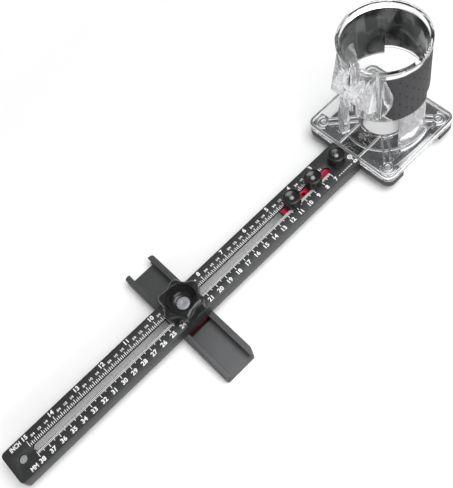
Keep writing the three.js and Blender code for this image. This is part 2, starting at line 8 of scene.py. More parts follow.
import bmesh
import bpy
from bpy.props import FloatProperty, FloatVectorProperty, IntProperty, PointerProperty
from bpy.types import Operator, Panel, PropertyGroup
from mathutils import Matrix, Vector


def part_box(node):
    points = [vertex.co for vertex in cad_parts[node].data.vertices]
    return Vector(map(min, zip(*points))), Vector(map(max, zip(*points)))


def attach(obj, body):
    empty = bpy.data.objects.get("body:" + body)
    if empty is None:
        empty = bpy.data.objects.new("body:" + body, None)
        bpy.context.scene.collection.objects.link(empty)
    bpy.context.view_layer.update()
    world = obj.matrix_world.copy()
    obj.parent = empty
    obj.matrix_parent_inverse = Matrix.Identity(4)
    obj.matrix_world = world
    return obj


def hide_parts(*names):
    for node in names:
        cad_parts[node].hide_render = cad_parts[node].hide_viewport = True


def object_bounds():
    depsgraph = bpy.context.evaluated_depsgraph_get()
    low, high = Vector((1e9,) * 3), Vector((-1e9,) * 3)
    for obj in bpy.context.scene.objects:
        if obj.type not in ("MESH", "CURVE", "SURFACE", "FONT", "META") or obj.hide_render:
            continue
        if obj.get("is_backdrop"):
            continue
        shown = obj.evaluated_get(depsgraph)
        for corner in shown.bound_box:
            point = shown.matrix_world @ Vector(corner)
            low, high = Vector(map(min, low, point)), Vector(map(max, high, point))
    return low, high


bl_info = {
    "name": "Router circle jig",
    "version": (1, 0, 0),
    "blender": (4, 5, 0),
    "location": "View3D > Sidebar > Circle jig",
    "description": "Dresses the circle cutting jig: ruler scale, clear base, grip, knobs, crossbar and studio",
    "category": "Object",
}

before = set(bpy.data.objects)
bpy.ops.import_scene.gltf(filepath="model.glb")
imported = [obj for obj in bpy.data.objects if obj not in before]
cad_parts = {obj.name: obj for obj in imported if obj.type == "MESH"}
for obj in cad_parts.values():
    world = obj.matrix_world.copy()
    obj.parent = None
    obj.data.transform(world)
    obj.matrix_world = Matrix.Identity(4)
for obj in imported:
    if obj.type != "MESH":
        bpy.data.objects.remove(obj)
packed_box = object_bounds()

MM = 0.001
RULER_LOW, RULER_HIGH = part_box("ruler")
SOLE_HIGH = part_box("sole_plate")[1]
GRIP_LOW, GRIP_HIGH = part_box("grip_sleeve")
CENTRE_Y = (RULER_LOW.y + RULER_HIGH.y) / 2
SOLE_REACH = 45 * MM  # from the cutter's axis to the sole's edge under the ruler
CUTTER = Vector((SOLE_HIGH.x - SOLE_REACH, CENTRE_Y, 0))  # axis of the cutter, where the printed scale has its zero
RULER_TOP = RULER_HIGH.z
RIB_TOP = RULER_TOP - 0.2 * MM
GRIP_RADIUS = GRIP_HIGH.y - CUTTER.y
COLLAR_RADIUS = GRIP_RADIUS - 0.1 * MM
SLOT_HALF = 3.1 * MM  # half the width of the ruler's slot
STAR_RADIUS = 18 * MM  # of the star knob, over its lobes
ZERO_SIGN = 47.6 * MM  # from the cutter's axis to the printed zero and the sign beside it
CAPITAL = 0.72  # height of a capital, as a share of the type's size
FILM = 36  # width of the camera's film in millimetres
# Painted highlight: the white of the rib edges and the bead's frosted share stand for light that the clear edges
# catch
RIB_HIGHLIGHT_WHITE = (0.95, 0.95, 0.95)
LEG_FROST, EAR_FROST, FRONT_FROST, BEAD_HIGHLIGHT = 0.75, 1.6, 0.04, 0.2  # how etched each region of the moulding is


# Sizes and colours that can be changed

def paint(name, description, *levels):
    """A colour, by its levels of red, green and blue."""
    return FloatVectorProperty(name=name, description=description, subtype="COLOR", min=0, max=1, default=levels)


def length(name, description, default, least=0.0):
    """A length in metres."""
    return FloatProperty(name=name, description=description, unit="LENGTH", min=least, default=default)


def turning(name, description, degrees, **limits):
    """An angle, given in degrees and kept in radians."""
    return FloatProperty(name=name, description=description, subtype="ANGLE", default=math.radians(degrees),
                         **limits)


class MetalLook(PropertyGroup):
    """Anodised aluminium and plated steel."""
    grey: paint("Beam grey", "Anodised beam and crossbar", 0.075, 0.076, 0.078)
    red: paint("Red", "Anodised tie plate and slide block", 0.5, 0.022, 0.06)
    # Near black: black anodising, made darker still as painted shade for the groove under the clear floor
    black: paint("Tongue black", "Anodised tongue in the sole", 0.004, 0.004, 0.0042)
    steel: paint("Steel", "Plated screws, studs and washer", 0.34, 0.34, 0.35)
    edge: length("Edge rounding", "Rounding of the metal edges", 0.3 * MM)


class PlasticLook(PropertyGroup):
    """Clear moulding, sole, rubber and knobs."""
    clear: paint("Clear tint", "What one wall of the clear moulding lets through", 0.97, 0.975, 0.98)
    frost: paint("Frost", "Etched faces and ribs of the clear moulding", 0.62, 0.62, 0.63)
    haze: FloatProperty(name="Haze", description="How frosted the legs and ears of the moulding are", min=0,
                        max=1, default=0.36)
    sole: paint("Sole", "Dark sole plate", 0.036, 0.036, 0.038)
    rubber: paint("Rubber", "Grip round the collar", 0.034, 0.034, 0.036)
    gloss: paint("Knob black", "Star knob and thumb knobs", 0.006, 0.006, 0.0065)
    edge: length("Edge rounding", "Rounding of the moulded edges", 0.35 * MM)


class GripLook(PropertyGroup):
    """Dimples of the rubber grip."""
    dimple: length("Dimple radius", "Radius of the ball that presses a dimple", 1.05 * MM)
    depth: length("Dimple depth", "Depth of a dimple", 0.6 * MM)
    turn: turning("Column angle", "Angle between two columns", 8.9, min=0.01)
    rise: length("Row height", "Height between two dimples of a column", 12.3 * MM, least=MM)
    first: turning("First column", "Angle of the first column from the ruler", 60)
    columns: IntProperty(name="Columns", description="Number of columns round the grip", min=1, default=27)
    low: length("Lowest dimple", "Height of the lowest dimple above the grip's lower edge", 5.9 * MM)


class ScaleLook(PropertyGroup):
    """White print on the ruler."""
    ink: paint("Ink", "White print", 0.85, 0.85, 0.84)
    layer: length("Ink layer", "Height of the print above the ruler", 0.05 * MM)
    line: length("Line width", "Width of a division line", 0.5 * MM)
    numeral: length("Numeral height", "Height of the large numerals", 3.7 * MM, least=0.1 * MM)
    fraction: length("Fraction height", "Height of the fractions of an inch", 1.9 * MM, least=0.1 * MM)
    first_cm: IntProperty(name="First centimetre", description="First printed centimetre", min=0, default=7)
    last_cm: IntProperty(name="Last centimetre", description="Last printed centimetre", min=1, default=38)
    last_inch: IntProperty(name="Last inch", description="Last printed inch", min=1, default=15)


class KnobLook(PropertyGroup):
    """Knurl and dish of the thumb knobs, lobes of the star knob."""
    grooves: IntProperty(name="Grooves", description="Grooves round a thumb knob", min=8, default=36)
    groove: length("Groove depth", "Depth of a groove", 0.3 * MM)
    rim: length("Rim", "Width of a thumb knob's rim", 1.0 * MM)
    dish: length("Dish", "Depth of a thumb knob's dish", 2.6 * MM)
    lobes: IntProperty(name="Lobes", description="Lobes of the star knob", min=3, default=6)
    valley: length("Valley", "Depth between two lobes", 3.2 * MM)
    turn: turning("Lobe angle", "Angle of the first lobe", 9)


class StudioLook(PropertyGroup):
    """Camera, lamps and floor."""
    eye: FloatVectorProperty(name="Camera", description="Place of the camera", subtype="TRANSLATION",
                             default=(0.10367, 0.24613, 0.54104))
    heading: turning("Heading", "Compass angle that the camera looks along", 245.93)
    dip: turning("Dip", "Angle that the camera looks down", 61.17)
    roll: turning("Roll", "Turn of the picture about the view", -21.98)
    lens: FloatProperty(name="Lens", description="Focal length on 36 mm film, in millimetres", min=1,
                        default=55.12)
    key: FloatProperty(name="Key lamp", description="Power of the large lamp overhead, in watts", min=0,
                       default=11.5)
    fill: FloatProperty(name="Strip lamp", description="Power of the long lamp beside the jig, in watts",
                        min=0, default=4.6)
    horizon: FloatProperty(name="Horizon", description="Light from the level of the floor", min=0, default=0.8)
    zenith: FloatProperty(name="Zenith", description="Light from straight above", min=0, default=0.3)
    floor: paint("Floor", "Floor colour", 0.9, 0.9, 0.9)


# Materials

class Level:
    """A value that varies over a surface. Sums, differences and products of levels add Math nodes."""

    def __init__(self, finish, socket):
        self.finish = finish
        self.socket = socket

    def maths(self, operation, first, second):
        return self.finish.add("Math", {"operation": operation}, {0: first, 1: second})

    def __add__(self, other):
        return self.maths("ADD", self, other)

    def __sub__(self, other):
        return self.maths("SUBTRACT", self, other)

    def __rsub__(self, other):
        return self.maths("SUBTRACT", other, self)

    def __mul__(self, other):
        return self.maths("MULTIPLY", self, other)

    __radd__ = __add__
    __rmul__ = __mul__


class Finish:
    """The nodes of a new material, or of the world."""

    def __init__(self, name, store="materials"):
        self.owner = getattr(bpy.data, store).new(name)
        self.owner.use_nodes = True
        self.tree = self.owner.node_tree
        self.tree.nodes.clear()

    def add(self, kind, settings=None, sockets=None, output=0):
        """Adds a node with its settings, fills its sockets with values or levels, and gives one output back."""
        node = self.tree.nodes.new("ShaderNode" + kind)
        for name, value in (settings or {}).items():
            setattr(node, name, value)
        for name, value in (sockets or {}).items():
            socket = node.inputs[name] if isinstance(name, int) else next(
                s for s in node.inputs if s.name == name and s.enabled)
            if isinstance(value, Level):
                self.tree.links.new(value.socket, socket)
            else:
                socket.default_value = value
        shown = [s for s in node.outputs if s.enabled]
        return Level(self, shown[output] if isinstance(output, int) else node.outputs[output])

    def place(self, stretch=(1, 1, 1)):
        """Object coordinates from the cutter's axis, stretched along an axis."""
        spot = self.add("TexCoord", output="Object")
        return self.add("Mapping", sockets={
            "Vector": spot, "Location": [-c * s for c, s in zip(CUTTER, stretch)], "Scale": stretch})

    def along(self, axis):
        """Distance from the cutter's axis along X or Y, or height above the floor."""
        return self.add("SeparateXYZ", sockets={0: self.place()}, output=axis)

    def from_axis(self):
        """Distance from the cutter's axis, level."""
        return self.add("VectorMath", {"operation": "LENGTH"}, {0: self.place((1, 1, 0))})

    def step(self, level, low, high):
        """0 up to the low value, 1 from the high value on."""
        return self.add("MapRange", {"interpolation_type": "SMOOTHSTEP"}, {
            "Value": level, "From Min": low, "From Max": high})

    def faces(self, axis):
        """How far a face looks along an axis, from -1 to 1."""
        return self.add("SeparateXYZ", sockets={0: self.add("TexCoord", output="Normal")}, output=axis)

    def noise(self, per_metre, detail=2.0, stretch=(1, 1, 1)):
        """Noise with about so many grains to the metre."""
        return self.add("TexNoise", sockets={
            "Vector": self.place(stretch), "Scale": per_metre, "Detail": detail, "Roughness": 0.55})

    def spread(self, level, low, high):
        """Takes a noise from its usual range to the range asked for."""
        return self.add("MapRange", sockets={
            "Value": level, "From Min": 0.3, "From Max": 0.7, "To Min": low, "To Max": high})

    def between(self, level, first, second):
        """The first colour where the level is 0, the second where it is 1."""
        return self.add("Mix", {"data_type": "RGBA"}, {
            "Factor": level, "A": (*first, 1), "B": (*second, 1)})

    def bump(self, height, depth, strength=1.0):
        return self.add("Bump", sockets={"Height": height, "Distance": depth, "Strength": strength})

    def principled(self, **sockets):
        """A Principled shader. An underscore stands for the space in a socket's name."""
        return self.add("BsdfPrincipled", sockets={k.replace("_", " "): v for k, v in sockets.items()})

    def done(self, shader, kind="Material"):
        """Leads the shader to the output, and gives the material or the world back."""
        output = self.tree.nodes.new("ShaderNodeOutput" + kind)
        self.tree.links.new(shader.socket, output.inputs["Surface"])
        return self.owner


def shade(colour, factor):
    """The colour made lighter or darker."""
    return tuple(min(1.0, c * factor) for c in colour)


def anodised(name, colour, metallic, roughness, drawn, slot=0.0, gloss=0.5):
    """Satin anodising with a fine etched grain and faint lines along the extrusion.

    Cut faces nearer to the middle line than the slot's half width are painted near black: painted shade on the
    walls of the slot.
    """
    finish = Finish(name)
    cloud = finish.noise(38, 3)
    lines = finish.noise(1, 2, drawn)
    grain = finish.noise(5200, 2)
    mixed = cloud * 0.35 + lines * 0.25 + finish.noise(950, 3) * 0.4
    tone = finish.between(finish.spread(mixed, 0, 1), shade(colour, 0.78), shade(colour, 1.18))
    # Painted shade: the upright walls of the slot are painted near black
    if slot:
        across = finish.along("Y")
        facing = finish.faces("Z")
        slot_wall_shade = (1 - finish.step(across * across, slot ** 2, (slot + 0.2 * MM) ** 2)) * (
            1 - finish.step(facing * facing, 0.1, 0.5))
        tone = finish.add("Mix", {"data_type": "RGBA"}, {
            "Factor": slot_wall_shade, "A": tone, "B": (*shade(colour, 0.1), 1)})
    return finish.done(finish.principled(
        Base_Color=tone,
        Metallic=metallic,
        Specular_IOR_Level=gloss,
        Roughness=finish.spread(lines * 0.5 + grain * 0.5, roughness - 0.05, roughness + 0.07),
        Normal=finish.bump(grain * 0.6 + lines * 0.4, 0.02 * MM, 0.5)))


def plated_steel(colour, name="plated_steel"):
    """Dull zinc plate, with a fine grain and a little bluish cloud."""
    finish = Finish(name)
    cloud = finish.noise(210, 3)
    grain = finish.noise(6000, 2)
    return finish.done(finish.principled(
        Base_Color=finish.between(finish.spread(cloud, 0, 1), shade(colour, 0.88), (
            colour[0] * 1.06, colour[1] * 1.1, colour[2] * 1.16)),
        Metallic=0.5,
        Roughness=finish.spread(grain, 0.5, 0.6),
        Normal=finish.bump(grain, 0.01 * MM, 0.4)))


def matt_moulding(name, colour, grain_size, depth, roughness):
    """Spark-eroded plastic, duller in patches where it is handled."""
    finish = Finish(name)
    cloud = finish.noise(30, 3)
    grain = finish.noise(1 / grain_size, 3)
    return finish.done(finish.principled(
        Base_Color=finish.between(finish.spread(cloud * 0.7 + grain * 0.3, 0, 1), shade(colour, 0.9),
                                  shade(colour, 1.12)),
        Roughness=finish.spread(cloud, roughness - 0.05, roughness + 0.05),
        Specular_IOR_Level=0.35,
        Normal=finish.bump(grain, depth, 0.7)))


def gloss_moulding(colour):
    """Polished black plastic with faint flow waves."""
    finish = Finish("gloss_black")
    flow = finish.noise(90, 2)
    dust = finish.noise(900, 3)
    return finish.done(finish.principled(
        Base_Color=finish.between(finish.spread(flow, 0, 1), colour, shade(colour, 1.5)),
        Roughness=finish.spread(dust, 0.22, 0.28),
        Normal=finish.bump(flow, 0.05 * MM, 0.25)))


def clear_moulding(tint, frost, haze):
    """Clear plastic: its legs and ears are frosted. The upright faces near the tops of its ribs are painted white
    and its bead is part frosted, as painted highlight for the light these edges catch.

    Rays to the lamps and rays from matt surfaces pass straight through, so that what is inside stays lit.
    """
    finish = Finish("clear_moulding")
    flow = finish.noise(120, 2)
    mottle = finish.spread(finish.noise(620, 4), 0.3, 1.5)
    height = finish.along("Z")
    reach = finish.from_axis()
    facing = finish.faces("Z")
    forward = finish.step(finish.faces("X"), 0.5, 0.75)
    upright = 1 - finish.step(facing * facing, 0.1, 0.6)
    above_ribs = finish.step(height, RIB_TOP + 0.6 * MM, RIB_TOP + 2 * MM)
    above_legs = finish.step(height, GRIP_LOW.z - 3 * MM, GRIP_LOW.z + 3 * MM)
    # Painted highlight: the upright faces near the rib tops are painted white, dimmer inside the hole
    ribs = finish.step(height, RIB_TOP - 2.1 * MM, RIB_TOP - 1.3 * MM) * (1 - above_ribs)
    past_hole = finish.step(reach, 20.5 * MM, 21.5 * MM)
    ribs = ribs * (upright * 0.88 + 0.12) * (past_hole * 0.7 + 0.3)
    legs = above_ribs * (1 - above_legs)
    front = above_legs * finish.step(finish.along("X"), 20 * MM, 30 * MM)
    ears = front * finish.step(reach, COLLAR_RADIUS + 0.7 * MM, COLLAR_RADIUS + 1.2 * MM) * forward
    # Painted highlight: the bead beyond the grip is part frosted
    bead_highlight = above_legs * finish.step(reach, COLLAR_RADIUS + 0.1 * MM, COLLAR_RADIUS + 0.4 * MM)
    glass = finish.principled(
        Base_Color=(*tint, 1), Roughness=0.03, IOR=1.46, Transmission_Weight=1.0, Specular_IOR_Level=0.35,
        Normal=finish.bump(flow * 0.3 + ears * mottle, 0.3 * MM, 0.3))
    # Frosted colour, with the painted white highlight of the ribs mixed in
    etched = finish.principled(
        Base_Color=finish.add("Mix", {"data_type": "RGBA"}, {
            "Factor": ribs, "A": finish.between(mottle * 0.5, shade(frost, 0.8), shade(frost, 1.25)),
            "B": (*RIB_HIGHLIGHT_WHITE, 1)}),
        Roughness=0.4, Normal=finish.bump(mottle, 0.15 * MM, 0.5))
    frosted = (legs * LEG_FROST + ears * EAR_FROST) * mottle * haze
    share = ribs + frosted + front * FRONT_FROST + bead_highlight * BEAD_HIGHLIGHT
    plastic = finish.add("MixShader", sockets={0: share, 1: glass, 2: etched})
    open_air = finish.add("BsdfTransparent", sockets={"Color": (*shade(tint, 0.97), 1)})
    for ray in ("Is Diffuse Ray", "Is Shadow Ray"):
        plastic = finish.add("MixShader", sockets={0: finish.add("LightPath", output=ray), 1: plastic, 2: open_air})
    return finish.done(plastic)


def dimpled_rubber(colour):
    """Matt rubber whose dimples and inner face are painted darker than its outside: painted shade, streaky on the
    inner face.
    """
    finish = Finish("grip_rubber")
    cloud = finish.noise(30, 3)
    grain = finish.noise(2200, 3)
    # Painted shade: everything inside the outer radius, the dimples and the inner face, takes the darker streaky
    # colour
    outside = finish.step(finish.from_axis(), GRIP_RADIUS - 0.3 * MM, GRIP_RADIUS - 0.08 * MM)
    worn = finish.between(finish.spread(cloud * 0.7 + grain * 0.3, 0, 1), shade(colour, 0.9), shade(colour, 1.12))
    shade_and_streaks = finish.between(finish.spread(finish.noise(130, 2, (1, 1, 0.06)), 0, 1), shade(colour, 0.04),
                             shade(colour, 0.36))
    return finish.done(finish.principled(
        Base_Color=finish.add("Mix", {"data_type": "RGBA"}, {"Factor": outside, "A": shade_and_streaks, "B": worn}),
        Roughness=finish.spread(cloud, 0.58, 0.68),
        Specular_IOR_Level=0.3,
        Normal=finish.bump(grain, 0.04 * MM, 0.7)))


def knob_materials(scene):
    """Gloss black and plated steel, each made at its first use."""
    made = bpy.data.materials.get
    return (made("gloss_black") or gloss_moulding(scene.jig_plastic.gloss),
            made("plated_steel") or plated_steel(scene.jig_metal.steel))


def printed(colour):
    """White printing ink, a little thin in places."""
    finish = Finish("white_ink")
    thin = finish.noise(1500, 2)
    return finish.done(finish.principled(
        Base_Color=finish.between(finish.spread(thin, 0, 1), shade(colour, 0.86), colour),
        Roughness=finish.spread(thin, 0.45, 0.6)))


def seen_directly(finish):
    """1 for rays from the camera and through glass, 0 for those that light the jig."""
    camera = finish.add("LightPath", output="Is Camera Ray")
    return camera.maths("MAXIMUM", camera, finish.add("LightPath", output="Is Transmission Ray"))


def studio_floor(colour):
    """Pale floor that keeps the jig's shadow, and runs out into white far from it."""
    finish = Finish("studio_floor")
    speck = finish.spread(finish.noise(40, 2), 0, 1)
    plain = finish.principled(Base_Color=finish.between(speck, shade(colour, 0.985), colour), Roughness=0.9,
                              Specular_IOR_Level=0.1)
    white = finish.add("Emission", sockets={"Color": (1, 1, 1, 1), "Strength": 1.0})
    middle, squash = 183 * MM, 0.35  # the plain floor is an oval about the jig's middle
    begins, whole = 0.028, 0.13  # where white sets in and is whole, as squared distances
    x, y = finish.along("X") - middle, finish.along("Y")
    far = finish.step(x * x * squash + y * y, begins, whole) * seen_directly(finish)
    return finish.done(finish.add("MixShader", sockets={0: far, 1: plain, 2: white}))


def studio_world(horizon, zenith):
    """White for the eye. As light it is brighter towards the horizon."""
    finish = Finish("studio_world", "worlds")
    way = finish.add("SeparateXYZ", sockets={0: finish.add("TexCoord", output="Generated")}, output="Z")
    low, high, white = (finish.add("Background", sockets={"Color": (1, 1, 1, 1), "Strength": strength})
                        for strength in (horizon, zenith, 1.0))
    light = finish.add("MixShader", sockets={0: finish.step(way, 0, 0.8), 1: low, 2: high})
    return finish.done(finish.add("MixShader", sockets={0: seen_directly(finish), 1: light, 2: white}), "World")


# Handwork

def put_down():
    """Leaves edit mode and selects nothing."""
    if bpy.context.object and bpy.context.object.mode != "OBJECT":
        bpy.ops.object.mode_set(mode="OBJECT")
    bpy.ops.object.select_all(action="DESELECT")


def take_up(*pieces):
    """Selects the pieces and makes the first one active."""
    put_down()
    for piece in pieces:
        piece.select_set(True)
    bpy.context.view_layer.objects.active = pieces[0]


def fresh(piece_name):
    """The object that an operator has just added, under its own name."""
    piece = bpy.context.object
    piece.name = piece_name
    piece.data.name = piece_name
    return piece


def settle(piece):
    """Moves the piece's place into its mesh, so that its object is at the origin."""
    take_up(piece)
    bpy.ops.object.transform_apply(location=True, rotation=True, scale=True)
    return piece


def modify(piece, kind, **settings):
    """Adds a modifier and applies it at once."""
    take_up(piece)
    modifier = piece.modifiers.new(kind.lower(), kind)
    for name, value in settings.items():
        setattr(modifier, name, value)
    bpy.ops.object.modifier_apply(modifier=modifier.name)
    return piece


def round_edges(piece, width, segments=3, angle=32):
    return modify(piece, "BEVEL", width=width, segments=segments, limit_method="ANGLE",
                  angle_limit=math.radians(angle), miter_outer="MITER_ARC", use_clamp_overlap=True)


def cut(piece, tool):
    """Cuts the tool's shape out of the piece and takes the tool away."""
    modify(piece, "BOOLEAN", operation="DIFFERENCE", object=tool, solver="EXACT")
    bpy.data.objects.remove(tool)
    return piece


def block(name, place, size):
    """A small block, as a start."""
    put_down()
    bpy.ops.mesh.primitive_cube_add(size=1, location=place, scale=size)
    return settle(fresh(name))


def drum(name, place, radius, height, sides):
    """A short cylinder, as a start."""
    put_down()
    bpy.ops.mesh.primitive_cylinder_add(vertices=sides, radius=radius, depth=height, location=place)
    return settle(fresh(name))


def join(pieces, name):
    """Makes one piece of several."""
    take_up(*pieces)
    if len(pieces) > 1:
        bpy.ops.object.join()
    piece = bpy.context.object
    piece.name = piece.data.name = name
    return piece


def another(piece, name, shift):
    """A copy of the piece with its own mesh, moved in its mesh."""
    copy = bpy.data.objects.new(name, piece.data.copy())
    copy.data.name = name
    bpy.context.scene.collection.objects.link(copy)
    copy.data.transform(Matrix.Translation(shift))
    return copy


def pick(piece, kind, test):
    """In edit mode, selects only the points, edges or faces that pass the test."""
    bpy.ops.mesh.select_mode(type={"verts": "VERT", "edges": "EDGE", "faces": "FACE"}[kind])
    bpy.ops.mesh.select_all(action="DESELECT")
    mesh = bmesh.from_edit_mesh(piece.data)
    for item in getattr(mesh, kind):
        if test(item):
            item.select_set(True)
    mesh.select_flush_mode()
    bmesh.update_edit_mesh(piece.data)


def edit(piece):
    """Opens the piece in edit mode."""
    take_up(piece)
    bpy.ops.object.mode_set(mode="EDIT")


def finish_edit():
    bpy.ops.object.mode_set(mode="OBJECT")


def smooth(piece, angle=32):
    take_up(piece)
    bpy.ops.object.shade_smooth_by_angle(angle=math.radians(angle))
    return piece


def copy_of_solid(node, name, flat=0.6):
    """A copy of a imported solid, its points merged and its flat faces made whole."""
    piece = bpy.data.objects.new(name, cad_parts[node].data.copy())
    piece.data.name = name
    bpy.context.scene.collection.objects.link(piece)
    edit(piece)
    bpy.ops.mesh.select_all(action="SELECT")
    bpy.ops.mesh.remove_doubles(threshold=0.004 * MM)
    bpy.ops.mesh.customdata_custom_splitnormals_clear()
    bpy.ops.mesh.dissolve_limited(angle_limit=math.radians(flat))
    finish_edit()
    return piece


def dress(piece, material, body, slot, *nodes):
    """Gives the piece its material and body, and lets it stand for its nodes. The slot argument is not used."""
    piece.data.materials.clear()
    piece.data.materials.append(material)
    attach(piece, body)
    if nodes:
        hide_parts(*nodes)
    return piece


def axis_of(low, high):
    """Where the vertical axis of a box stands."""
    return (low.x + high.x) / 2, (low.y + high.y) / 2


def turned_on_axis(name, x, y, profile, steps=32):
    """A solid of revolution: (radius, height) points, drawn as edges and spun about a vertical axis."""
    put_down()
    bpy.ops.mesh.primitive_plane_add(size=MM, location=(x, y, 0))
    piece = settle(fresh(name))
    edit(piece)
    pick(piece, "verts", lambda v: v.index > 0)
    bpy.ops.mesh.delete(type="VERT")
    pick(piece, "verts", lambda v: True)
    mesh = bmesh.from_edit_mesh(piece.data)
    mesh.verts.ensure_lookup_table()
    mesh.verts[0].co = (x + profile[0][0], y, profile[0][1])
    bmesh.update_edit_mesh(piece.data)
    for (r0, z0), (r1, z1) in zip(profile, profile[1:]):
        bpy.ops.mesh.extrude_region_move(TRANSFORM_OT_translate={"value": (r1 - r0, 0, z1 - z0)})
    bpy.ops.mesh.select_all(action="SELECT")
    bpy.ops.mesh.spin(steps=steps, angle=2 * math.pi, center=(x, y, 0), axis=(0, 0, 1))
    bpy.ops.mesh.select_all(action="SELECT")
    bpy.ops.mesh.remove_doubles(threshold=0.003 * MM)
    bpy.ops.mesh.normals_make_consistent(inside=False)
    finish_edit()
    return piece


# Pieces cut from metal

class JIG_OT_ruler(Operator):
    """Ruler beam: rounded edges and drawn satin anodising"""
    bl_idname = "jig.ruler"
    bl_label = "Ruler beam"

    def execute(self, context):
        look = context.scene.jig_metal
        beam = round_edges(copy_of_solid("ruler", "ruler_beam"), look.edge)
        # Painted shade on the walls of the slot, within its half width of the middle line
        grey = anodised("grey_anodised", look.grey, 0.9, 0.42, (40, 9000, 9000), SLOT_HALF)
        dress(smooth(beam), grey, "jig", "dark_anodised", "ruler")
        return {"FINISHED"}


class JIG_OT_red_parts(Operator):
    """Tie plate under the ruler and slide block in the crossbar, both anodised red; the block's red is darkened as
    painted shade
    """
    bl_idname = "jig.red_parts"
    bl_label = "Red parts"

    def execute(self, context):
        look = context.scene.jig_metal
        red = anodised("red_anodised", look.red, 0.6, 0.3, (60, 7000, 7000))
        plate = round_edges(copy_of_solid("tie_plate", "red_tie_plate"), look.edge)
        dress(smooth(plate), red, "jig", "red_anodised", "tie_plate")
        slider = round_edges(copy_of_solid("slide_block", "red_slide_block"), look.edge * 1.5)
        # Painted shade: the slide block gets a much darker copy of the red, for the shade under the ruler and the
        # star knob
        deep = anodised("deep_red_anodised", shade(look.red, 0.08), 0.9, 0.42, (60, 7000, 7000))
        dress(smooth(slider), deep, "carriage", "red_anodised", "slide_block")
        return {"FINISHED"}


class JIG_OT_tongue(Operator):
    """Black tongue between the sole and the tie plate"""
    bl_idname = "jig.tongue"
    bl_label = "Tongue"

    def execute(self, context):
        look = context.scene.jig_metal
        tongue = round_edges(copy_of_solid("tongue", "black_tongue"), look.edge * 0.7)
        # Black anodising, darkened further as painted shade for the groove under the clear floor
        black = anodised("tongue_anodised", look.black, 0.0, 0.6, (40, 8000, 8000), gloss=0.1)
        dress(smooth(tongue), black, "jig", "black_anodised", "tongue")
        return {"FINISHED"}


class JIG_OT_crossbar(Operator):
    """Crossbar: a channel with inward lips, clamped under the ruler"""
    bl_idname = "jig.crossbar"
    bl_label = "Crossbar"

    def execute(self, context):
        look = context.scene.jig_metal
        bar = round_edges(copy_of_solid("crossbar", "fence_crossbar"), look.edge)
        grey = anodised("bar_anodised", shade(look.grey, 1.15), 0.6, 0.55, (9000, 40, 9000))
        dress(smooth(bar), grey, "bar", "dark_anodised", "crossbar")
        return {"FINISHED"}


# Print on the ruler

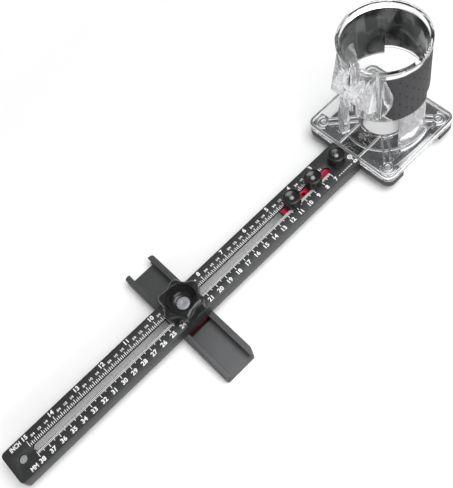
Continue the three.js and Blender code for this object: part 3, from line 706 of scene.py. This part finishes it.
class JIG_OT_scale(Operator):
    """Division lines, numerals and words printed on the ruler"""
    bl_idname = "jig.scale"
    bl_label = "Printed scale"

    def lines(self, look, first, count, pitch, near, far, width=1.0):
        """A row of equal lines: one thin bar, repeated along the ruler."""
        row = block("scale_lines", (CUTTER.x + first, CENTRE_Y + (near + far) / 2, RULER_TOP),
                    (look.line * width, abs(far - near), 2 * look.layer))
        if count > 1:
            modify(row, "ARRAY", count=count, use_relative_offset=False, use_constant_offset=True,
                   constant_offset_displace=(pitch, 0, 0))
        return row

    def words(self, look, text, along, across, height, width=None, turn=math.pi, bold=0.042):
        """A printed word, as flat type with a thin layer of ink, drawn to a width where one is given."""
        put_down()
        bpy.ops.object.text_add(location=(CUTTER.x + along, CENTRE_Y + across, RULER_TOP),
                                rotation=(0, 0, turn))
        word = fresh("scale_words")
        word.data.body = text
        word.data.align_x = word.data.align_y = "CENTER"
        word.data.size = height / CAPITAL
        word.data.offset = bold * height
        word.data.extrude = look.layer
        word.data.resolution_u = 3
        take_up(word)
        bpy.ops.object.convert(target="MESH")
        word = bpy.context.object
        if width:
            word.scale.x = width / word.dimensions.x
        return settle(word)

    def execute(self, context):
        look = context.scene.jig_scale
        inch = 25.4 * MM
        edge, short, middling, tall = 3.25 * MM, 5.5 * MM, 6.8 * MM, 8.2 * MM  # start and ends of the metric lines
        metric_row, inch_row, fraction_row = 11.4 * MM, -11.5 * MM, -9.2 * MM
        lines, words = self.lines, self.words
        first, last = look.first_cm * 10 * MM, look.last_cm * 10 * MM
        millimetres = (look.last_cm - look.first_cm) * 10
        rows = [
            lines(look, first, millimetres + 1, MM, edge, short, 0.9),
            lines(look, first, millimetres // 5 + 1, 5 * MM, short, middling),
            lines(look, first, millimetres // 10 + 1, 10 * MM, middling, tall),
        ]
        start = math.ceil(first / inch * 16) / 16
        sixteenths = round((look.last_inch - start) * 16)
        rows.append(lines(look, start * inch, sixteenths + 1, inch / 16, -edge, -5.3 * MM))
        for parts, near, far in ((8, 5.3, 6.1), (4, 6.1, 6.9), (1, 6.9, 8.4)):
            begin = math.ceil(start * parts) / parts
            rows.append(lines(look, begin * inch, round((look.last_inch - begin) * parts) + 1, inch / parts,
                              -near * MM, -far * MM))
        for centimetre in range(look.first_cm, look.last_cm + 1):
            rows.append(words(look, str(centimetre), centimetre * 10 * MM, metric_row, look.numeral))
        quarter = math.ceil(start * 4)
        for count in range(quarter, look.last_inch * 4 + 1):
            whole, rest = divmod(count, 4)
            if rest:
                rows.append(words(look, ("1/4", "1/2", "3/4")[rest - 1], count / 4 * inch, fraction_row,
                                  look.fraction))
            else:
                rows.append(words(look, str(whole), whole * inch, inch_row, look.numeral))
        rows.append(words(look, "INCH", last + 9.7 * MM, -11.2 * MM, look.numeral, width=9.2 * MM))
        rows.append(words(look, "MM", last + 7.7 * MM, metric_row, look.numeral, width=6 * MM))
        rows.append(words(look, "0", ZERO_SIGN, 11.6 * MM, look.numeral, turn=math.pi / 2, bold=0.07))
        first_dash, dash_pitch = 52.2, 2.25  # of the dashed line beside the zero, in millimetres
        for dash in range(7):
            rows.append(lines(look, (first_dash + dash_pitch * dash) * MM, 1, 0, 11 * MM, 11.8 * MM, 2.4))
        rows += self.cutter_sign(look)
        dress(join(rows, "scale_print"), printed(look.ink), "jig", "dark_anodised")
        return {"FINISHED"}

    def cutter_sign(self, look):
        """A circle with a cross, and the short line from it to the zero."""
        spot = Vector((CUTTER.x + ZERO_SIGN, CENTRE_Y + 5.6 * MM, RULER_TOP))
        towards_zero = spot + Vector((0, 3 * MM, 0))
        ring = drum("scale_sign", spot, 2.2 * MM, 2 * look.layer, 32)
        cut(ring, drum("sign_hole", spot, 1.4 * MM, MM, 32))
        return [ring] + [block("sign_bar", place, (wide * MM, long * MM, 2 * look.layer))
                         for place, wide, long in ((spot, 3.2, 0.7), (spot, 0.7, 3.2), (towards_zero, 0.9, 1.9))]


# Moulded pieces

class JIG_OT_sole(Operator):
    """Dark sole plate under the clear base"""
    bl_idname = "jig.sole"
    bl_label = "Sole plate"

    def execute(self, context):
        look = context.scene.jig_plastic
        sole = round_edges(copy_of_solid("sole_plate", "dark_sole"), look.edge)
        dark = matt_moulding("sole_plastic", look.sole, 0.35 * MM, 0.03 * MM, 0.55)
        dress(smooth(sole), dark, "jig", "sole_plastic", "sole_plate")
        return {"FINISHED"}


class JIG_OT_clear_base(Operator):
    """Clear moulding: ribbed floor, legs, split collar and ears"""
    bl_idname = "jig.clear_base"
    bl_label = "Clear base"

    def execute(self, context):
        look = context.scene.jig_plastic
        base = round_edges(copy_of_solid("clear_base", "clear_moulding"), look.edge, 2)
        clear = clear_moulding(look.clear, look.frost, look.haze)
        dress(smooth(base), clear, "jig", "clear_plastic", "clear_base")
        return {"FINISHED"}


class JIG_OT_grip(Operator):
    """Rubber grip with rows of round dimples"""
    bl_idname = "jig.grip"
    bl_label = "Rubber grip"

    def execute(self, context):
        look = context.scene.jig_grip
        plastic = context.scene.jig_plastic
        sleeve = round_edges(copy_of_solid("grip_sleeve", "rubber_grip"), plastic.edge, 2)
        reach = GRIP_RADIUS + look.dimple - look.depth
        highest = GRIP_HIGH.z - 3.5 * MM
        put_down()
        bpy.ops.mesh.primitive_uv_sphere_add(segments=12, ring_count=8, radius=look.dimple)
        ball = settle(fresh("dimple_ball"))
        balls = []
        for column in range(look.columns):
            turn = look.first + column * look.turn
            height = GRIP_LOW.z + look.low + (column % 2) * look.rise / 2
            while height < highest:
                spot = CUTTER + Vector((reach * math.cos(turn), reach * math.sin(turn), height))
                balls.append(another(ball, "dimple_ball", spot))
                height += look.rise
        bpy.data.objects.remove(ball)
        cut(sleeve, join(balls, "dimple_balls"))
        dress(smooth(sleeve), dimpled_rubber(plastic.rubber), "jig", "grip_rubber", "grip_sleeve")
        return {"FINISHED"}


# Fixings and knobs

class JIG_OT_screws(Operator):
    """Countersunk screws with a cross recess: four into the bosses, two into the tongue"""
    bl_idname = "jig.screws"
    bl_label = "Screws"

    def screw(self, node, name):
        low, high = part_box(node)
        x, y = axis_of(low, high)
        head, shank, root, pitch = (high.x - low.x) / 2, 2 * MM, 0.28 * MM, 0.7 * MM
        profile = [(0, low.z), (head, low.z), (head, low.z + 0.3 * MM), (shank, low.z + 2.3 * MM)]
        height = low.z + 3 * MM
        while height < high.z - 1.4 * MM:
            profile += [(shank, height), (shank - root, height + 0.35 * MM)]
            height += pitch
        profile += [(shank - 0.2 * MM, high.z - MM), (0.7 * MM, high.z), (0, high.z)]
        piece = turned_on_axis(name, x, y, profile)
        deep, taper = 2.4 * MM, 0.45
        for wide, long in ((4.2, 0.9), (0.9, 4.2)):
            bar = block("recess_bar", (x, y, low.z), (wide * MM, long * MM, deep))
            edit(bar)
            pick(bar, "faces", lambda f: f.normal.z > 0.9)
            bpy.ops.transform.resize(value=(taper, taper, 1), center_override=(x, y, low.z))
            finish_edit()
            cut(piece, bar)
        return smooth(piece, 40)

    def execute(self, context):
        look = context.scene.jig_metal
        steel, black = plated_steel(look.steel), plated_steel(shade(look.black, 4), "blackened_steel")
        for kind, count, finish in (("sole_screw", 4, steel), ("tongue_screw", 2, black)):
            first = self.screw(f"{kind}_1", f"steel_{kind}_1")
            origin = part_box(f"{kind}_1")[0]
            for number in range(2, count + 1):
                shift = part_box(f"{kind}_{number}")[0] - origin
                copy = another(first, f"steel_{kind}_{number}", shift)
                dress(copy, finish, "jig", "steel", f"{kind}_{number}")
            dress(first, finish, "jig", "steel", f"{kind}_1")
        return {"FINISHED"}


class JIG_OT_thumb_knobs(Operator):
    """Three grooved thumb knobs with dished tops, and their domed studs"""
    bl_idname = "jig.thumb_knobs"
    bl_label = "Thumb knobs"

    def knob(self, look):
        low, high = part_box("thumb_knob_1")
        middle = (low + high) / 2
        radius = (high.x - low.x) / 2
        knob = drum("thumb_knob_black_1", middle, radius, high.z - low.z, 2 * look.grooves)
        edit(knob)
        pick(knob, "faces", lambda f: f.normal.z > 0.9)
        bpy.ops.mesh.inset(thickness=look.rim)
        bpy.ops.mesh.extrude_region_move(TRANSFORM_OT_translate={"value": (0, 0, -look.dish * 0.55)})
        bpy.ops.transform.resize(value=(0.93, 0.93, 1), center_override=middle)
        bpy.ops.mesh.inset(thickness=radius * 0.25)
        bpy.ops.transform.translate(value=(0, 0, -look.dish * 0.3))
        bpy.ops.mesh.inset(thickness=radius * 0.2)
        bpy.ops.transform.translate(value=(0, 0, -look.dish * 0.15))
        pick(knob, "edges", lambda e: all(
            abs((v.co - middle).xy.length - radius) < 0.02 * MM for v in e.verts)
            and abs(e.verts[0].co.z - e.verts[1].co.z) < 0.02 * MM)
        bpy.ops.mesh.bevel(offset=0.8 * MM, segments=4, affect="EDGES")
        turn = math.pi / look.grooves

        def side(face):
            spot = face.calc_center_median() - middle
            tall = max(v.co.z for v in face.verts) - min(v.co.z for v in face.verts)
            place = round(math.atan2(spot.y, spot.x) / turn - 0.5)
            return abs(face.normal.z) < 0.1 and tall > 4 * MM and spot.xy.length > radius * 0.95 and place % 2 == 0

        pick(knob, "faces", side)
        bpy.ops.mesh.inset(thickness=0.1 * MM, depth=-look.groove, use_individual=True)
        pick(knob, "edges", lambda e: all(
            abs((v.co - middle).xy.length - (radius - look.rim)) < 0.05 * MM and v.co.z > high.z - 0.05 * MM
            for v in e.verts))
        bpy.ops.mesh.bevel(offset=0.3 * MM, segments=3, affect="EDGES")
        finish_edit()
        return smooth(knob, 35)

    def stud(self):
        low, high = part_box("thumb_stud_1")
        x, y = axis_of(low, high)
        radius = (high.x - low.x) / 2
        dome = 1.2 * MM
        shoulder = high.z - dome
        profile = [(0, low.z), (radius - 0.5 * MM, low.z), (radius, low.z + 0.5 * MM)]
        profile += [(radius * math.cos(math.radians(a)), shoulder + dome * math.sin(math.radians(a)))
                    for a in (0, 15, 30, 45, 60, 75)]
        return smooth(turned_on_axis("thumb_stud_steel_1", x, y, [*profile, (0, high.z)]), 40)

    def execute(self, context):
        black, steel = knob_materials(context.scene)
        knob, stud = self.knob(context.scene.jig_knobs), self.stud()
        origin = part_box("thumb_knob_1")[0]
        for number in (2, 3):
            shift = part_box(f"thumb_knob_{number}")[0] - origin
            dress(another(knob, f"thumb_knob_black_{number}", shift), black, f"thumb_{number}", "black_plastic",
                  f"thumb_knob_{number}")
            dress(another(stud, f"thumb_stud_steel_{number}", shift), steel, f"thumb_{number}", "steel",
                  f"thumb_stud_{number}")
        dress(knob, black, "thumb_1", "black_plastic", "thumb_knob_1")
        dress(stud, steel, "thumb_1", "steel", "thumb_stud_1")
        return {"FINISHED"}


class JIG_OT_star_knob(Operator):
    """Star knob with a deep dish, its stud with a round head, and the washer under it"""
    bl_idname = "jig.star_knob"
    bl_label = "Star knob"

    def knob(self, look):
        low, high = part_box("star_knob")
        stud_low, stud_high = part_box("clamp_stud")
        x, y = axis_of(stud_low, stud_high)
        head = (stud_high.x - stud_low.x) / 2 + 0.1 * MM
        shoulder, foot = 3.2 * MM, 1.2 * MM  # roundings of the upper and the lower edge
        mouth, hollow = 12.8 * MM, 8.8 * MM  # radius of the bowl's mouth, reach of a valley
        knob = drum("star_knob_black", (x, y, (low.z + high.z) / 2), STAR_RADIUS, high.z - low.z, 144)
        edit(knob)
        for lobe in range(look.lobes):
            turn = look.turn + (lobe + 0.5) * 2 * math.pi / look.lobes
            way = Vector((math.cos(turn), math.sin(turn), 0))
            tip = Vector((x, y, 0)) + way * STAR_RADIUS
            pick(knob, "verts", lambda v: (v.co - tip).xy.length < 0.9 * MM)
            bpy.ops.transform.translate(value=-look.valley * way, use_proportional_edit=True,
                                        proportional_edit_falloff="SMOOTH", proportional_size=hollow,
                                        use_proportional_connected=False)
        for level, width in ((high.z, shoulder), (low.z, foot)):
            pick(knob, "edges", lambda e: all(abs(v.co.z - level) < 0.01 * MM for v in e.verts))
            bpy.ops.mesh.bevel(offset=width, segments=5, affect="EDGES")
        finish_edit()
        floor = low.z + 3.2 * MM
        seat = floor - 1.7 * MM
        bowl = turned_on_axis("star_bowl", x, y, [
            (0, floor), (6 * MM, floor), (7 * MM, floor + 0.3 * MM), (9 * MM, floor + 2 * MM),
            (10.9 * MM, floor + 5 * MM), (12 * MM, high.z - 1.2 * MM), (12.4 * MM, high.z - 0.3 * MM),
            (mouth, high.z + 0.05 * MM), (mouth, high.z + MM), (0, high.z + MM)], 72)
        cut(knob, bowl)
        socket = turned_on_axis("star_socket", x, y, [
            (0, seat), (head, seat), (head, floor - 0.2 * MM),
            (head + 0.3 * MM, floor + 0.2 * MM), (head + 0.3 * MM, floor + MM), (0, floor + MM)], 72)
        cut(knob, socket)
        bore = turned_on_axis("star_bore", x, y, [
            (0, low.z - MM), (2.9 * MM, low.z - MM), (2.9 * MM, floor), (0, floor)], 48)
        return smooth(cut(knob, bore), 35)

    def execute(self, context):
        black, steel = knob_materials(context.scene)
        dress(self.knob(context.scene.jig_knobs), black, "star", "black_plastic", "star_knob")
        low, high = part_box("clamp_stud")
        x, y = axis_of(low, high)
        head = (high.x - low.x) / 2
        neck = high.z - 1.9 * MM
        thread, root = 2.8 * MM, 2.45 * MM
        profile = [(0, low.z), (1.8 * MM, low.z)]
        height = low.z + 0.8 * MM
        while height < neck - 2 * MM:
            profile += [(thread, height), (root, height + 0.5 * MM)]
            height += MM
        fine = 0.12 * MM
        profile += [(thread, neck - MM), (thread, neck), (head, neck), (head, high.z - 0.35 * MM),
                    (head - fine, high.z - fine), (head - 0.4 * MM, high.z), (2 * MM, high.z),
                    (1.7 * MM, high.z - fine), (0, high.z - fine)]
        dress(smooth(turned_on_axis("clamp_stud_steel", x, y, profile, 48), 35), steel, "star", "steel",
              "clamp_stud")
        washer = round_edges(copy_of_solid("star_washer", "washer_steel"), 0.2 * MM, 2)
        dress(smooth(washer), steel, "carriage", "steel", "star_washer")
        return {"FINISHED"}


# Studio

class JIG_OT_studio(Operator):
    """Pale floor, soft lamps and the camera"""
    bl_idname = "jig.studio"
    bl_label = "Studio"

    def lamp(self, name, power, place, aim, size):
        """An area lamp, turned to its aim."""
        put_down()
        bpy.ops.object.light_add(type="AREA", location=place)
        lamp = fresh(name)
        lamp.data.shape = "RECTANGLE"
        lamp.data.size, lamp.data.size_y = size
        lamp.data.energy = power
        lamp.rotation_euler = (Vector(place) - Vector(aim)).to_track_quat("Z", "Y").to_euler()

    def execute(self, context):
        look = context.scene.jig_studio
        width, below = 6, 0.0002
        put_down()
        bpy.ops.mesh.primitive_plane_add(size=width, location=(0, 0, -below))
        floor = settle(fresh("studio_floor"))
        edit(floor)
        bpy.ops.mesh.select_all(action="SELECT")
        bpy.ops.mesh.subdivide(number_cuts=3)
        finish_edit()
        floor.data.materials.append(studio_floor(look.floor))
        floor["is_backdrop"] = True
        self.lamp("key_lamp", look.key, place=(-0.2, 0.3, 1.0), aim=(0, 0, 0.02), size=(0.8, 0.8))
        self.lamp("strip_lamp", look.fill, place=(0.15, 1.0, 0.6), aim=(0, 0, 0.03), size=(1.0, 0.3))

        context.scene.world = studio_world(look.horizon, look.zenith)

        put_down()
        bpy.ops.object.camera_add()
        camera = fresh("photo_camera")
        ahead = Vector((math.cos(look.heading) * math.cos(look.dip), math.sin(look.heading) * math.cos(look.dip),
                        -math.sin(look.dip)))
        level = ahead.cross(Vector((0, 0, 1))).normalized()
        upright = level.cross(ahead)
        side = math.cos(look.roll) * level + math.sin(look.roll) * upright
        top = math.cos(look.roll) * upright - math.sin(look.roll) * level
        turn = Matrix((side, top, -ahead)).transposed().to_4x4()
        camera.matrix_world = Matrix.Translation(Vector(look.eye)) @ turn
        camera.data.lens = look.lens
        camera.data.sensor_width = FILM
        camera.data.clip_start = 0.01
        context.scene.camera = camera
        context.scene.view_settings.view_transform = "Standard"
        return {"FINISHED"}


class JIG_PT_panel(Panel):
    """Buttons for each piece, in the order they are made"""
    bl_label = "Circle jig"
    bl_idname = "JIG_PT_panel"
    bl_space_type = "VIEW_3D"
    bl_region_type = "UI"
    bl_category = "Circle jig"

    def draw(self, context):
        for step in STEPS:
            self.layout.operator(step.bl_idname)


LOOKS = {"jig_metal": MetalLook, "jig_plastic": PlasticLook, "jig_grip": GripLook, "jig_scale": ScaleLook,
         "jig_knobs": KnobLook, "jig_studio": StudioLook}
STEPS = (JIG_OT_ruler, JIG_OT_scale, JIG_OT_red_parts, JIG_OT_tongue, JIG_OT_sole, JIG_OT_clear_base,
         JIG_OT_grip, JIG_OT_screws, JIG_OT_thumb_knobs, JIG_OT_star_knob, JIG_OT_crossbar, JIG_OT_studio)


def register():
    for kind in (*LOOKS.values(), *STEPS, JIG_PT_panel):
        bpy.utils.register_class(kind)
    for name, look in LOOKS.items():
        setattr(bpy.types.Scene, name, PointerProperty(type=look))


def unregister():
    for name in LOOKS:
        delattr(bpy.types.Scene, name)
    for kind in reversed((*LOOKS.values(), *STEPS, JIG_PT_panel)):
        bpy.utils.unregister_class(kind)


def main():
    register()
    bpy.ops.jig.ruler()
    bpy.ops.jig.scale()
    bpy.ops.jig.red_parts()
    bpy.ops.jig.tongue()
    bpy.ops.jig.sole()
    bpy.ops.jig.clear_base()
    bpy.ops.jig.grip()
    bpy.ops.jig.screws()
    bpy.ops.jig.thumb_knobs()
    bpy.ops.jig.star_knob()
    bpy.ops.jig.crossbar()
    bpy.ops.jig.studio()
    boxes = {name: [list(corner) for corner in box]
             for name, box in (("cad", packed_box), ("visual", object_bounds()))}


if __name__ == "__main__":
    main()
